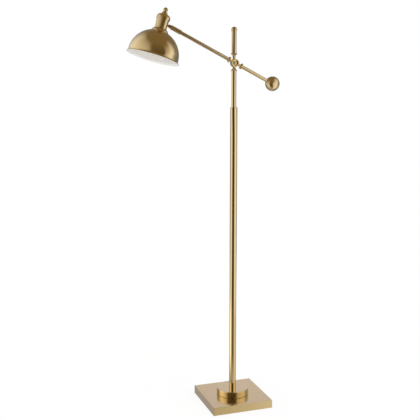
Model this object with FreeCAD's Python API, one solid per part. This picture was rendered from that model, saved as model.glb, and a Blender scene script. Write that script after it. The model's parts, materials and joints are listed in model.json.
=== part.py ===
import FreeCAD, Part
import math
import os

# Pharmacy floor lamp with a counterweighted arm, in millimetres.
# +Z is up, the origin is the centre of the base's resting face, -Y is the side that the
# hub's screw faces, and the arm carries its shade towards -X and its ball towards +X.
# Head pieces are drawn about the shade's axis, which starts at the centre of its mouth.
# Arm pieces are drawn about the arm's axis, which starts at the hub and runs to the shade.

# Fits
RUNNING = 0.06          # radial clearance of a shaft that turns or slides in its bore
SEAT = 0.04             # radial clearance of a plug, spigot or thread that doesn't move
LOOSE = 0.24            # radial clearance of a hole that something only passes through
FLAT_GAP = 0.2          # gap between flat faces that move past each other
DIAGONAL = math.sqrt(0.5)   # what a length at 45 degrees covers each way

# Base
BASE_SIDE = 254.0
BASE_HEIGHT = 33.0
BASE_WALL = 1.2
BASE_CORNER = 2.0
BASE_EDGE = 1.5
BASE_LIFT = 0.8         # the cover's skirt stands this far off the floor
BASE_PLAY = 0.5         # room between the cover's skirt and what lies inside it
PAD_THICK = 1.5
PLATE_THICK = 1.5
WEIGHT_MARGIN = 4.0
WEIGHT_THICK = 12.0
SCREW_INSET = 36.0
SCREW_R = 2.0
SCREW_HEAD_R = 3.6
SCREW_LENGTH = 9.0
SCREW_ROOM = 1.0        # hole left past the screw's tip
OUTLET_R = 4.0
OUTLET_HEIGHT = 23.0
BUSHING_WALL = 2.0
BUSHING_RIM = 4.0       # how far its flanges stand out from its bore
BUSHING_FLANGE = 1.8

# Step on the base
STEP_R = 66.5
STEP_HEIGHT = 27.0
STEP_WALL = 1.2
STEP_EDGE = 2.5
STEP_FOOT = 2.4         # radius that turns the wall in at its foot

# Threaded pipe that ties the base, the step and the pole together
PIPE_R = 5.0
PIPE_BORE_R = 3.4
PIPE_TAIL = 0.6         # the pipe stands this far off the bottom plate
NUT_FLATS = 16.0
NUT_HEIGHT = 4.5
NUT_TAIL = 1.0          # length of pipe that shows below the nut
NUT_ROOM = 3.8          # room for a wrench around the nut's corners
WASHER_THICK = 1.2
WASHER_ROOM = 1.0
SPACER_WALL = 4.0

# Pole
POLE_R = 14.3
POLE_WALL = 1.5
POLE_LENGTH = 1160.0
POLE_CHAMFER = 0.5
FOOT_LENGTH = 26.0
COUPLER_LENGTH = 60.0
COUPLER_WALL = 2.2
RING_HEIGHT = 2.6
RING_EDGE = 1.6
RING_SPIGOT = 9.0
BUSH_LENGTH = 34.0

# Stem, the thin tube that slides and turns in the pole
STEM_R = 9.5
STEM_WALL = 1.2
STEM_SHOWING = 141.0
STEM_INSIDE = 205.0
GLIDE_LENGTH = 40.0
GLIDE_RISE = 8.0        # from the stem's foot to the lower clip
CLIP_THICK = 1.5
CLIP_ROOM = 0.8         # between the clips and the pole's bore

# Hub, two round halves on one screw
HUB_R = 15.2
HUB_BACK_THICK = 12.4
HUB_FRONT_THICK = 11.6
FRICTION_THICK = 0.5
FRICTION_WIDTH = 2.7
HUB_WALL = 4.1          # from the hub's rim to the wire groove
HUB_BOSS_WALL = 1.9     # from the screw's bore to the wire groove
HUB_RIM = 4.0           # width of the flat rim around the front's conical dish
HUB_DISH = 3.0
HUB_EDGE = 0.8
WIRE_R = 1.9
PIVOT_R = 3.0
PIVOT_HEAD_R = 4.3
PIVOT_HEAD = 2.4
PIVOT_SLOT = 1.0
SPRING_WASHER_R = 5.8
SPRING_WASHER = 0.8
HUB_SEAT = 0.5          # room around the spring washer on the dish's floor
CAP_NUT_FLATS = 12.0
CAP_NUT_HEIGHT = 5.0
CAP_NUT_DOME = 3.5
CAP_NUT_LEDGE = 0.9     # from the nut's flats in to its dome

# Post through the hub
POST_NECK_R = 6.2
POST_STUD_R = 4.2
POST_STUD = 12.0
LOWER_COLLAR_LIP = 2.8  # how far each collar stands out from its tube
UPPER_COLLAR_LIP = 3.3
POST_COLLAR_BAND = 3.4
POST_COLLAR_TAPER = 8.0
POST_COLLAR_SPIGOT = 14.0
LOWER_COLLAR_DROP = 30.5
UPPER_COLLAR_RISE = 38.0
COLLAR_HOLLOW = 0.38    # depth of the hollow in a collar's taper, as a share of its size
POST_ROD_R = 9.5
POST_ROD_WALL = 1.2
POST_ROD_LENGTH = 86.0
POST_CAP_LIP = 1.6
POST_CAP_BAND = 4.0
POST_CAP_DOME = 11.5
POST_CAP_SPIGOT = 10.0

# Arm
ARM_ANGLE = 26.5        # the shade's end stands this many degrees above level
ARM_R = 6.7
ARM_WALL = 1.0
ARM_NECK_R = 4.9
ARM_STUD_R = 3.0
ARM_STUD = 11.0
ARM_COLLAR_LIP = 5.0
ARM_COLLAR_BAND = 6.0
ARM_COLLAR_TAPER = 3.4
ARM_COLLAR_SPIGOT = 12.0
ARM_COLLAR_OFFSET = 31.2
ARM_TO_KNUCKLE = 298.0
BALL_OFFSET = 178.0
BALL_R = 29.0
BALL_DEPTH = 16.0
BALL_FLAT = 1.5         # width of the flat around the arm where it enters the ball

# Swivel sleeve at the arm's outer end
SLEEVE_WALL = 1.75
SLEEVE_LENGTH = 43.1
SLEEVE_TO_KNUCKLE = 8.0
SLEEVE_TURN = 1.8       # the sleeve is turned this many degrees about the arm
SLEEVE_EDGE = 0.7
SLEEVE_LAP = 18.0       # length of arm tube inside the sleeve
STOP_LIP = 0.8          # how far the stop's head stands out from the arm tube
STOP_HEAD = 3.0
STOP_PLUG = 10.0
STOP_ROOM = 0.3
STOP_CAVITY = 6.0

# Knuckle between the sleeve and the socket cup
KNUCKLE_R = 5.7
EAR_THICK = 2.0
TONGUE_THICK = 3.2
FORK_ROOT_R = 5.7
FORK_STUD_R = 4.0
FORK_STUD = 13.0
KNUCKLE_PIN_R = 1.5
KNUCKLE_HEAD_R = 3.4
KNUCKLE_HEAD = 1.6
KNUCKLE_NUT_FLATS = 5.5
KNUCKLE_NUT = 2.4
KNUCKLE_SLOT = 0.8
KNUCKLE_STANDOFF = 6.7  # from the cup's wall to the knuckle's pin
KNUCKLE_RISE = 20.0     # from the cup's foot to the knuckle's pin
TONGUE_WEB = 6.9
TONGUE_FLANGE_R = 5.2
TONGUE_FLANGE = 0.6
RIVET_R = 2.2
RIVET_HEAD_R = 3.8
RIVET_HEAD = 1.0

# Shade
HEAD_TILT = 17.0        # the shade's axis leans this many degrees towards the pole
DOME_R = 97.0
DOME_RISE = 9.5         # the dome's centre above the mouth
SHADE_WALL = 0.9
LIP_FLARE = 5.5         # how far the lip stands out from the dome
LIP_HOLLOW = (0.27, 0.46)   # where its curve passes, as shares of its flare and height
LIP_EDGE = 0.9

# Lamp holder, shade ring and saucer
HOLDER_R = 19.5
HOLDER_BORE_R = 14.0
HOLDER_DROP = 12.0      # from the shade's crown to the holder's mouth
HOLDER_LENGTH = 48.0
HOLDER_BORE_DEPTH = 36.0
SHADE_RING_WIDTH = 5.5
SHADE_RING_HEIGHT = 7.0
SAUCER_R = 32.5
SAUCER_WALL = 1.0
SAUCER_RISE = 8.5       # from the shade's crown to the saucer's top
SAUCER_LEDGE = 0.6      # flat of the saucer's top that shows around the cup
SAUCER_BULGE = (0.56, 0.31)     # where its curve passes, as shares of its width and drop
SHELL_WALL = 0.4
SHELL_DEPTH = 9.5       # from the holder's mouth to the screw shell
SHELL_ROOM = 2.0        # above the screw shell
CONTACT_R = 3.0
CONTACT_THICK = 0.6

# Socket cup, its cap and the switch
CUP_ROOM = 1.9          # between the lamp holder and the cup's foot
CUP_WALL = 1.0
CUP_FLARE = 1.8
CUP_LENGTH = 39.5
CUP_BEAD = 3.4
CUP_BEAD_BULGE = 1.0
CAP_LIP = 2.0           # how far the cap stands out from the cup
CAP_LAP = 3.5           # length of cap over the cup's rim
CAP_BAND = 5.5
CAP_DOME = 14.0
CAP_TOP_R = 13.0
CAP_WALL = 1.0
BRIDGE_THICK = 1.5
BRIDGE_WIDTH = 16.0
BRIDGE_SCREW_R = 1.5
BRIDGE_SCREW_HEAD_R = 2.6
BRIDGE_SCREW_HEAD = 1.8
BRIDGE_SCREW_LENGTH = 8.0
BRIDGE_SCREW_OFFSET = 10.0
SWITCH_R = 11.0
SWITCH_LENGTH = 21.0
SWITCH_SHOULDER_R = 5.0
SWITCH_SHOULDER = 6.0   # threaded shoulder above the cap
BEZEL_R = 12.6
BEZEL_TOP_R = 9.4
BEZEL_HEIGHT = 9.0
BEZEL_BAND = 1.8
BEZEL_HOLLOW = (0.36, 0.55)     # where its curve passes, as shares of its taper and height
SHAFT_R = 2.0
SHAFT_DEPTH = 12.0      # length of shaft inside the switch
KNOB_R = 9.0
KNOB_NECK_R = 6.6
KNOB_NECK = 2.2
KNOB_GRIP = 9.0         # length of shaft inside the knob

# Bulb
BULB_R = 30.0
BULB_NECK = 43.5        # from the belly's centre to the screw base
BULB_NECK_DROP = 12.5   # where the neck's curve passes, below the screw base
BULB_NECK_EASE = 1.6    # and how far out from the neck
BULB_NECK_LAP = 2.0     # length of neck inside the screw base
BULB_BASE_R = 13.2
BULB_BASE_WALL = 0.3
BULB_BASE_DEPTH = 8.5   # from the holder's mouth to the screw base's rim
BULB_BASE_LENGTH = 22.5
BULB_CONTACT_R = 5.0
BULB_CONTACT = 4.0
BULB_GLASS_WALL = 0.8

# Places worked out from the sizes
pad_top = PAD_THICK
plate_top = pad_top + PLATE_THICK
weight_top = plate_top + WEIGHT_THICK
pocket_top = plate_top + PIPE_TAIL + NUT_TAIL + NUT_HEIGHT + WASHER_THICK
nut_pocket_r = NUT_FLATS / math.sqrt(3) + NUT_ROOM
spacer_r = PIPE_R + SPACER_WALL
bushing_r = OUTLET_R + BUSHING_WALL
bushing_flange_r = OUTLET_R + BUSHING_RIM
inner_side = BASE_SIDE - 2 * BASE_WALL - 2 * BASE_PLAY
weight_side = inner_side - 2 * WEIGHT_MARGIN
step_top = BASE_HEIGHT + STEP_HEIGHT
pole_top = step_top + POLE_LENGTH
pole_joint = step_top + POLE_LENGTH / 2
pole_bore_r = POLE_R - POLE_WALL
ring_top = pole_top + RING_HEIGHT
stem_top = ring_top + STEM_SHOWING
stem_foot = ring_top - STEM_INSIDE
stem_bore_r = STEM_R - STEM_WALL
glide_foot = stem_foot + GLIDE_RISE + CLIP_THICK + FLAT_GAP
hub_height = stem_top + LOWER_COLLAR_DROP
upper_collar_top = hub_height + UPPER_COLLAR_RISE
hub_back_face = HUB_BACK_THICK / 2
hub_joint_face = -HUB_BACK_THICK / 2
hub_front_back = hub_joint_face - FRICTION_THICK
hub_front_face = hub_front_back - HUB_FRONT_THICK
arm_plane = hub_front_back - HUB_FRONT_THICK / 2
dish_floor = hub_front_face + HUB_DISH
hub_dish_r = HUB_R - HUB_RIM
hub_seat_r = SPRING_WASHER_R + HUB_SEAT
hub_groove_r = HUB_R - HUB_WALL
hub_boss_r = PIVOT_R + HUB_BOSS_WALL
post_cap_r = POST_ROD_R + POST_CAP_LIP
ball_flat_r = ARM_R + BALL_FLAT
ball_face = BALL_OFFSET - math.sqrt(BALL_R ** 2 - ball_flat_r ** 2)
sleeve_r = ARM_R + SLEEVE_WALL
stop_r = ARM_R + STOP_LIP
sleeve_outer = ARM_TO_KNUCKLE - SLEEVE_TO_KNUCKLE
sleeve_inner = sleeve_outer - SLEEVE_LENGTH
arm_tube_end = sleeve_inner + SLEEVE_LAP
ear_outer = TONGUE_THICK / 2 + FLAT_GAP + EAR_THICK
lip_r = DOME_R + LIP_FLARE
crown = DOME_RISE + math.sqrt(DOME_R ** 2 - HOLDER_R ** 2)
holder_foot = crown - HOLDER_DROP
holder_top = holder_foot + HOLDER_LENGTH
holder_bore_top = holder_foot + HOLDER_BORE_DEPTH
shade_ring_r = HOLDER_R + SHADE_RING_WIDTH
bulb_base_foot = holder_foot + BULB_BASE_DEPTH
bulb_base_top = bulb_base_foot + BULB_BASE_LENGTH
bulb_contact_top = bulb_base_top + BULB_CONTACT
bulb_centre = bulb_base_foot - BULB_NECK
cup_foot = crown + SAUCER_RISE
cup_top = cup_foot + CUP_LENGTH
cup_foot_r = HOLDER_R + CUP_ROOM + CUP_WALL
cup_top_r = cup_foot_r + CUP_FLARE
cap_r = cup_top_r + CAP_LIP
cap_foot = cup_top - CAP_LAP
cap_top = cap_foot + CAP_BAND + CAP_DOME
knob_foot = cap_top + BEZEL_HEIGHT + FLAT_GAP
knob_centre = knob_foot + KNOB_NECK + math.sqrt(KNOB_R ** 2 - KNOB_NECK_R ** 2)

V = FreeCAD.Vector
X_AXIS = V(1, 0, 0)
Y_AXIS = V(0, 1, 0)
Z_AXIS = V(0, 0, 1)


# ---- Shapes ----

def rod(radius, low, high):
    """A round bar along Z."""
    return Part.makeCylinder(radius, high - low, V(0, 0, low))


def tube(inner_r, outer_r, low, high):
    """A round tube along Z."""
    return rod(outer_r, low, high).cut(rod(inner_r, low, high))


def rod_along_y(radius, low, high, x=0.0, z=0.0):
    """A round bar along Y."""
    return Part.makeCylinder(radius, high - low, V(x, low, z), Y_AXIS)


def hexagon(flats, low, high):
    """A six-sided bar along Z, measured across its flats."""
    corner_r = flats / math.sqrt(3)
    turns = [math.radians(60 * side) for side in range(7)]
    corners = [V(corner_r * math.cos(a), corner_r * math.sin(a), low) for a in turns]
    return Part.Face(Part.makePolygon(corners)).extrude(V(0, 0, high - low))


def plate(side, low, high):
    """A square plate centred on Z."""
    return Part.makeBox(side, side, high - low, V(-side / 2, -side / 2, low))


def lathe(*outline):
    """A full turn about Z of a closed outline of (radius, height) points.

    A pair of points in the outline is an arc through the first to the second.
    """
    edges = []
    here = outline[0]
    for step in outline[1:] + outline[:1]:
        if isinstance(step[0], tuple):
            through, there = step
            edges.append(Part.Arc(flat(here), flat(through), flat(there)).toShape())
        else:
            there = step
            edges.append(Part.LineSegment(flat(here), flat(there)).toShape())
        here = there
    face = Part.Face(Part.Wire(edges))
    return face.revolve(V(0, 0, 0), Z_AXIS, 360)


def flat(point):
    """An outline's (radius, height) point in the X-Z plane."""
    return V(point[0], 0, point[1])


def inside(point, wall):
    """The outline point that lies a wall's thickness in from a point on a 45 degree slope."""
    return (point[0] - wall * DIAGONAL, point[1] - wall * DIAGONAL)


def sag(radius):
    """How far in from a square corner, each way, the middle of its rounding lies."""
    return radius * (1 - DIAGONAL)


def point_on_circle(centre_height, radius, at_radius):
    """The height of a circle about (0, centre_height) above the given radius."""
    return centre_height + math.sqrt(radius ** 2 - at_radius ** 2)


def circle_point(centre_height, radius, degrees):
    """A point of a circle about (0, centre_height), in degrees above level."""
    turn = math.radians(degrees)
    return (radius * math.cos(turn), centre_height + radius * math.sin(turn))


def dome_arc(base_r, foot, rise):
    """The arc of a domed end, from (base_r, foot) up to the axis, as a lathe step."""
    ball_r = (base_r ** 2 + rise ** 2) / (2 * rise)
    centre = foot + rise - ball_r
    start = math.degrees(math.atan2(foot - centre, base_r))
    return (circle_point(centre, ball_r, (start + 90) / 2), (0, foot + rise))


def round_edges(shape, radius, pick):
    """Round the edges that pick chooses."""
    return shape.makeFillet(radius, [edge for edge in shape.Edges if pick(edge)])


def moved(shape, origin, along):
    """Carry a shape from its own frame to origin, its Z along the given direction.

    The direction lies in the X-Z plane, so the shape's Y stays the lamp's Y.
    """
    across = Y_AXIS.cross(along)
    frame = FreeCAD.Matrix(
        across.x, 0, along.x, origin.x,
        across.y, 1, along.y, origin.y,
        across.z, 0, along.z, origin.z,
        0, 0, 0, 1)
    return shape.transformed(frame, True)


def cup_radius(height):
    """The cup's outer radius at a height on the shade's axis."""
    return cup_foot_r + CUP_FLARE * (height - cup_foot - CUP_BEAD) / (CUP_LENGTH - CUP_BEAD)


knuckle_height = cup_foot + KNUCKLE_RISE
knuckle_across = cup_radius(knuckle_height) + KNUCKLE_STANDOFF
arm_turn = math.radians(ARM_ANGLE)
arm_direction = V(-math.cos(arm_turn), 0, math.sin(arm_turn))
hub_centre = V(0, arm_plane, hub_height)
knuckle_centre = hub_centre + arm_direction * ARM_TO_KNUCKLE
head_turn = math.radians(HEAD_TILT)
head_direction = V(math.sin(head_turn), 0, math.cos(head_turn))
head_across = Y_AXIS.cross(head_direction)
shade_centre = (knuckle_centre - head_across * knuckle_across
                - head_direction * knuckle_height)


def on_arm(shape):
    """Carry a shape drawn along the arm's axis to its place."""
    return moved(shape, hub_centre, arm_direction)


def turned_sleeve(shape):
    """Turn a shape about the arm by as much as the sleeve is turned."""
    return shape.rotated(hub_centre, arm_direction, SLEEVE_TURN)


def on_sleeve(shape):
    """Carry a shape drawn along the arm's axis to its place on the turned sleeve."""
    return turned_sleeve(on_arm(shape))


def on_head(shape):
    """Carry a shape drawn about the shade's axis to its place."""
    return turned_sleeve(moved(shape, shade_centre, head_direction))


# ---- Base ----

def base_pad():
    return plate(inner_side, 0, pad_top)


def screw_places():
    reach = BASE_SIDE / 2 - SCREW_INSET
    return [V(x, y, 0) for x in (-reach, reach) for y in (-reach, reach)]


def at_places(shape, places):
    """Copies of a shape at each place."""
    return [shape.translated(place) for place in places]


def countersink():
    return Part.makeCone(SCREW_HEAD_R, SCREW_R, PLATE_THICK, V(0, 0, pad_top))


def base_plate():
    body = plate(inner_side, pad_top, plate_top)
    return body.cut(at_places(countersink(), screw_places()))


def base_screws():
    shank = rod(SCREW_R, plate_top, plate_top + SCREW_LENGTH)
    screw = countersink().fuse(shank).removeSplitter()
    return Part.makeCompound(at_places(screw, screw_places()))


def base_weight():
    body = plate(weight_side, plate_top, weight_top)
    body = round_edges(body, WEIGHT_MARGIN, is_upright)
    hole = rod(SCREW_R + SEAT, plate_top, plate_top + SCREW_LENGTH + SCREW_ROOM)
    pocket = rod(nut_pocket_r, plate_top, pocket_top)
    bore = rod(PIPE_R + SEAT, plate_top, weight_top)
    return body.cut(at_places(hole, screw_places()) + [pocket, bore])


def is_upright(edge):
    """True for a straight edge that runs along Z."""
    first, last = edge.Vertexes[0].Point, edge.Vertexes[-1].Point
    return abs(first.x - last.x) + abs(first.y - last.y) < 1e-6


def base_nut():
    top = pocket_top - WASHER_THICK
    return hexagon(NUT_FLATS, top - NUT_HEIGHT, top).cut(rod(PIPE_R + SEAT, 0, top))


def base_washer():
    outer_r = nut_pocket_r - WASHER_ROOM
    return tube(PIPE_R + SEAT, outer_r, pocket_top - WASHER_THICK, pocket_top)


def base_cover():
    def is_outer_top(edge):
        return all(abs(vertex.Z - BASE_HEIGHT) < 1e-6 for vertex in edge.Vertexes)

    shell = plate(BASE_SIDE, BASE_LIFT, BASE_HEIGHT)
    shell = round_edges(shell, BASE_CORNER, is_upright)
    shell = round_edges(shell, BASE_EDGE, is_outer_top)
    hollow = plate(BASE_SIDE - 2 * BASE_WALL, BASE_LIFT, BASE_HEIGHT - BASE_WALL)
    hollow = round_edges(hollow, BASE_CORNER - BASE_WALL, is_upright)
    outlet = rod_along_y(bushing_r + SEAT, BASE_SIDE / 2 - 2 * BASE_WALL, BASE_SIDE / 2,
                         z=OUTLET_HEIGHT)
    pipe = rod(PIPE_R + SEAT, BASE_HEIGHT - 2 * BASE_WALL, BASE_HEIGHT)
    return shell.cut([hollow, outlet, pipe])


def cord_bushing():
    """A grommet through the rear wall, with a flange on each side of it."""
    wall_out = BASE_SIDE / 2
    wall_in = wall_out - BASE_WALL
    body = lathe(
        (OUTLET_R, wall_in - BUSHING_FLANGE),
        (bushing_flange_r, wall_in - BUSHING_FLANGE),
        (bushing_flange_r, wall_in),
        (bushing_r, wall_in),
        (bushing_r, wall_out),
        (bushing_flange_r, wall_out),
        ((bushing_flange_r - sag(BUSHING_FLANGE), wall_out + DIAGONAL * BUSHING_FLANGE),
         (bushing_flange_r - BUSHING_FLANGE, wall_out + BUSHING_FLANGE)),
        (OUTLET_R, wall_out + BUSHING_FLANGE))
    body.rotate(V(0, 0, 0), X_AXIS, -90)
    return body.translated(V(0, 0, OUTLET_HEIGHT))


def base_spacer():
    return tube(PIPE_R + SEAT, spacer_r, weight_top, BASE_HEIGHT - BASE_WALL)


def step_cover():
    inner_r = STEP_R - STEP_WALL
    inner_top = step_top - STEP_WALL
    edge = sag(STEP_EDGE)
    inner_edge = sag(STEP_EDGE - STEP_WALL)
    foot = sag(STEP_FOOT)
    foot_r = STEP_R - STEP_FOOT - STEP_WALL
    return lathe(
        (PIPE_R + SEAT, step_top),
        (STEP_R - STEP_EDGE, step_top),
        ((STEP_R - edge, step_top - edge), (STEP_R, step_top - STEP_EDGE)),
        (STEP_R, BASE_HEIGHT + STEP_FOOT),
        ((STEP_R - foot, BASE_HEIGHT + foot), (STEP_R - STEP_FOOT, BASE_HEIGHT)),
        (foot_r, BASE_HEIGHT),
        (inner_r, BASE_HEIGHT + STEP_FOOT + STEP_WALL),
        (inner_r, step_top - STEP_EDGE),
        ((inner_r - inner_edge, inner_top - inner_edge), (STEP_R - STEP_EDGE, inner_top)),
        (PIPE_R + SEAT, inner_top))


def step_spacer():
    return tube(PIPE_R + SEAT, spacer_r, BASE_HEIGHT, step_top - STEP_WALL)


def threaded_pipe():
    return tube(PIPE_BORE_R, PIPE_R, plate_top + PIPE_TAIL, step_top + FOOT_LENGTH)


# ---- Pole ----

def pole_section(low, high, top_chamfer, foot_chamfer):
    """One length of the pole's tube, its ends eased by the chamfers given."""
    outline = [
        (pole_bore_r, low),
        (POLE_R - foot_chamfer, low),
        (POLE_R, low + foot_chamfer),
        (POLE_R, high - top_chamfer),
        (POLE_R - top_chamfer, high),
        (pole_bore_r, high)]
    return lathe(*[point for i, point in enumerate(outline) if point != outline[i - 1]])


def pole_foot():
    """The plug in the pole's foot that the threaded pipe screws into."""
    return tube(PIPE_R + SEAT, pole_bore_r - SEAT, step_top, step_top + FOOT_LENGTH)


def lower_tube():
    return pole_section(step_top, pole_joint, POLE_CHAMFER, 0)


def upper_tube():
    return pole_section(pole_joint, pole_top, 0, POLE_CHAMFER)


def pole_coupler():
    outer_r = pole_bore_r - SEAT
    half = COUPLER_LENGTH / 2
    return tube(outer_r - COUPLER_WALL, outer_r, pole_joint - half, pole_joint + half)


def pole_ring():
    """The rounded ring that closes the top of the pole around the stem."""
    bore_r = STEM_R + LOOSE
    edge = sag(RING_EDGE)
    return lathe(
        (bore_r, pole_top - RING_SPIGOT),
        (pole_bore_r - SEAT, pole_top - RING_SPIGOT),
        (pole_bore_r - SEAT, pole_top),
        (POLE_R, pole_top),
        (POLE_R, ring_top - RING_EDGE),
        ((POLE_R - edge, ring_top - edge), (POLE_R - RING_EDGE, ring_top)),
        (bore_r, ring_top))


def guide_bush():
    top = pole_top - RING_SPIGOT
    return tube(STEM_R + RUNNING, pole_bore_r - SEAT, top - BUSH_LENGTH, top)


# ---- Stem ----

def stem_glide():
    return tube(STEM_R + RUNNING, pole_bore_r - RUNNING, glide_foot, glide_foot + GLIDE_LENGTH)


def stem_tube():
    return tube(stem_bore_r, STEM_R, stem_foot, stem_top)


def stem_clips():
    """The two rings that hold the glide on the stem."""
    lower = glide_foot - FLAT_GAP - CLIP_THICK
    upper = glide_foot + GLIDE_LENGTH + FLAT_GAP
    rings = [tube(STEM_R, pole_bore_r - CLIP_ROOM, foot, foot + CLIP_THICK) for foot in (lower, upper)]
    return Part.makeCompound(rings)


def collar(band_r, band, taper, neck_r, spigot_r, spigot, hole_r):
    """A collar that stands on a tube's end at height 0 and tapers to a neck above.

    Its spigot reaches down into the tube, and its hole takes the neck's stud.
    """
    edge = band / 4
    top = band + taper
    return lathe(
        (hole_r, -spigot),
        (spigot_r, -spigot),
        (spigot_r, 0),
        (band_r - edge, 0),
        (band_r, edge),
        (band_r, band - edge),
        (band_r - edge, band),
        ((neck_r + COLLAR_HOLLOW * (band_r - neck_r), band + COLLAR_HOLLOW * taper),
         (neck_r, top)),
        (hole_r, top))


def post_collar(band_r, tube_bore_r):
    return collar(band_r, POST_COLLAR_BAND, POST_COLLAR_TAPER, POST_NECK_R,
                  tube_bore_r - SEAT, POST_COLLAR_SPIGOT, POST_STUD_R + SEAT)


def lower_collar():
    return post_collar(STEM_R + LOWER_COLLAR_LIP, stem_bore_r).translated(V(0, 0, stem_top))


def upper_collar():
    body = post_collar(POST_ROD_R + UPPER_COLLAR_LIP, POST_ROD_R - POST_ROD_WALL)
    body.rotate(V(0, 0, 0), X_AXIS, 180)
    return body.translated(V(0, 0, upper_collar_top))


def post_rod():
    return tube(POST_ROD_R - POST_ROD_WALL, POST_ROD_R, upper_collar_top,
                upper_collar_top + POST_ROD_LENGTH)


def post_cap():
    """The domed cap on the post, with a spigot down into its tube."""
    foot = upper_collar_top + POST_ROD_LENGTH
    dome_foot = foot + POST_CAP_BAND
    spigot_r = POST_ROD_R - POST_ROD_WALL - SEAT
    return lathe(
        (0, foot - POST_CAP_SPIGOT),
        (spigot_r, foot - POST_CAP_SPIGOT),
        (spigot_r, foot),
        (post_cap_r, foot),
        (post_cap_r, dome_foot),
        dome_arc(post_cap_r, dome_foot, POST_CAP_DOME))


# ---- Hub ----

def hub_disc(back, front):
    """A round half of the hub from its back face to its front face, along Y."""
    disc = rod_along_y(HUB_R, front, back)
    return disc.makeChamfer(HUB_EDGE, [e for e in disc.Edges if len(e.Vertexes) == 1])


def hub_groove(mouth, depth):
    """The ring-shaped wire way from a half's joint face, depth signed along Y."""
    low, high = sorted((mouth, mouth + depth))
    return rod_along_y(hub_groove_r, low, high).cut(rod_along_y(hub_boss_r, low, high))


def hub_post():
    """The rear half of the hub, with a neck and a stud above and below."""
    below = LOWER_COLLAR_DROP - POST_COLLAR_BAND - POST_COLLAR_TAPER
    above = UPPER_COLLAR_RISE - POST_COLLAR_BAND - POST_COLLAR_TAPER
    body = hub_disc(hub_back_face, hub_joint_face)
    body = body.fuse([
        rod(POST_NECK_R, -below, above),
        rod(POST_STUD_R, -below - POST_STUD, above + POST_STUD)])
    body = body.cut([
        hub_groove(hub_joint_face, HUB_BACK_THICK / 2),
        rod_along_y(PIVOT_R + RUNNING, hub_joint_face, hub_back_face),
        rod(WIRE_R, -below - POST_STUD, -hub_boss_r - WIRE_R)])
    return body.removeSplitter().translated(V(0, 0, hub_height))


def hub_arm():
    """The front half of the hub, with a neck and a stud for each side of the arm."""
    neck = ARM_COLLAR_OFFSET - ARM_COLLAR_BAND - ARM_COLLAR_TAPER
    half = HUB_FRONT_THICK / 2
    body = hub_disc(half, -half)
    body = body.fuse([
        rod(ARM_NECK_R, -neck, neck),
        rod(ARM_STUD_R, -neck - ARM_STUD, neck + ARM_STUD)])
    body = body.cut([
        hub_groove(half, -half),
        Part.makeCone(hub_dish_r, hub_seat_r, HUB_DISH, V(0, -half, 0), Y_AXIS),
        rod_along_y(PIVOT_R + RUNNING, -half, half),
        rod(WIRE_R, hub_boss_r + WIRE_R, neck + ARM_STUD)])
    return on_arm(body.removeSplitter())


def friction_ring():
    low, high = hub_front_back, hub_joint_face
    ring = rod_along_y(HUB_R - HUB_EDGE, low, high)
    ring = ring.cut(rod_along_y(HUB_R - HUB_EDGE - FRICTION_WIDTH, low, high))
    return ring.translated(V(0, 0, hub_height))


def pivot_screw():
    """The slotted screw that the arm turns on."""
    seat = dish_floor - SPRING_WASHER
    head = rod_along_y(PIVOT_HEAD_R, seat - PIVOT_HEAD, seat)
    head = round_edges(head, PIVOT_HEAD / 4,
                       lambda edge: edge.CenterOfMass.y < seat - PIVOT_HEAD / 2)
    slot = Part.makeBox(2 * PIVOT_HEAD_R, PIVOT_SLOT, PIVOT_SLOT,
                        V(-PIVOT_HEAD_R, seat - PIVOT_HEAD, -PIVOT_SLOT / 2))
    shank = rod_along_y(PIVOT_R, seat, hub_back_face + CAP_NUT_HEIGHT)
    return head.cut(slot).fuse(shank).translated(V(0, 0, hub_height))


def spring_washer():
    low, high = dish_floor - SPRING_WASHER, dish_floor
    ring = rod_along_y(SPRING_WASHER_R, low, high)
    ring = ring.cut(rod_along_y(PIVOT_R + RUNNING, low, high))
    return ring.translated(V(0, 0, hub_height))


def cap_nut():
    """The domed nut behind the hub."""
    dome_r = CAP_NUT_FLATS / 2 - CAP_NUT_LEDGE
    dome = lathe(
        (0, CAP_NUT_HEIGHT),
        (dome_r, CAP_NUT_HEIGHT),
        dome_arc(dome_r, CAP_NUT_HEIGHT, CAP_NUT_DOME))
    body = hexagon(CAP_NUT_FLATS, 0, CAP_NUT_HEIGHT).fuse(dome)
    body = body.cut(rod(PIVOT_R + SEAT, 0, CAP_NUT_HEIGHT + SEAT))
    body.rotate(V(0, 0, 0), X_AXIS, -90)
    return body.translated(V(0, hub_back_face, hub_height))


# ---- Arm ----

def arm_collar():
    """A collar drawn with its band at the arm tube's end and its taper to the hub."""
    return collar(ARM_R + ARM_COLLAR_LIP, ARM_COLLAR_BAND, ARM_COLLAR_TAPER, ARM_NECK_R,
                  ARM_R - ARM_WALL - SEAT, ARM_COLLAR_SPIGOT, ARM_STUD_R + SEAT)


def shade_side_collar():
    body = arm_collar()
    body.rotate(V(0, 0, 0), X_AXIS, 180)
    return on_arm(body.translated(V(0, 0, ARM_COLLAR_OFFSET)))


def ball_side_collar():
    return on_arm(arm_collar().translated(V(0, 0, -ARM_COLLAR_OFFSET)))


def arm_tube():
    return on_arm(tube(ARM_R - ARM_WALL, ARM_R, ARM_COLLAR_OFFSET, arm_tube_end))


def counter_tube():
    """The short side of the arm, which ends in the ball's socket."""
    end = ball_face + BALL_DEPTH
    return on_arm(tube(ARM_R - ARM_WALL, ARM_R, -end, -ARM_COLLAR_OFFSET))


def counterweight():
    ball = Part.makeSphere(BALL_R)
    face = BALL_OFFSET - ball_face
    trim = rod(BALL_R, face, BALL_R)
    socket = rod(ARM_R + SEAT, face - BALL_DEPTH, face)
    return on_arm(ball.cut([trim, socket]).translated(V(0, 0, -BALL_OFFSET)))


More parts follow.
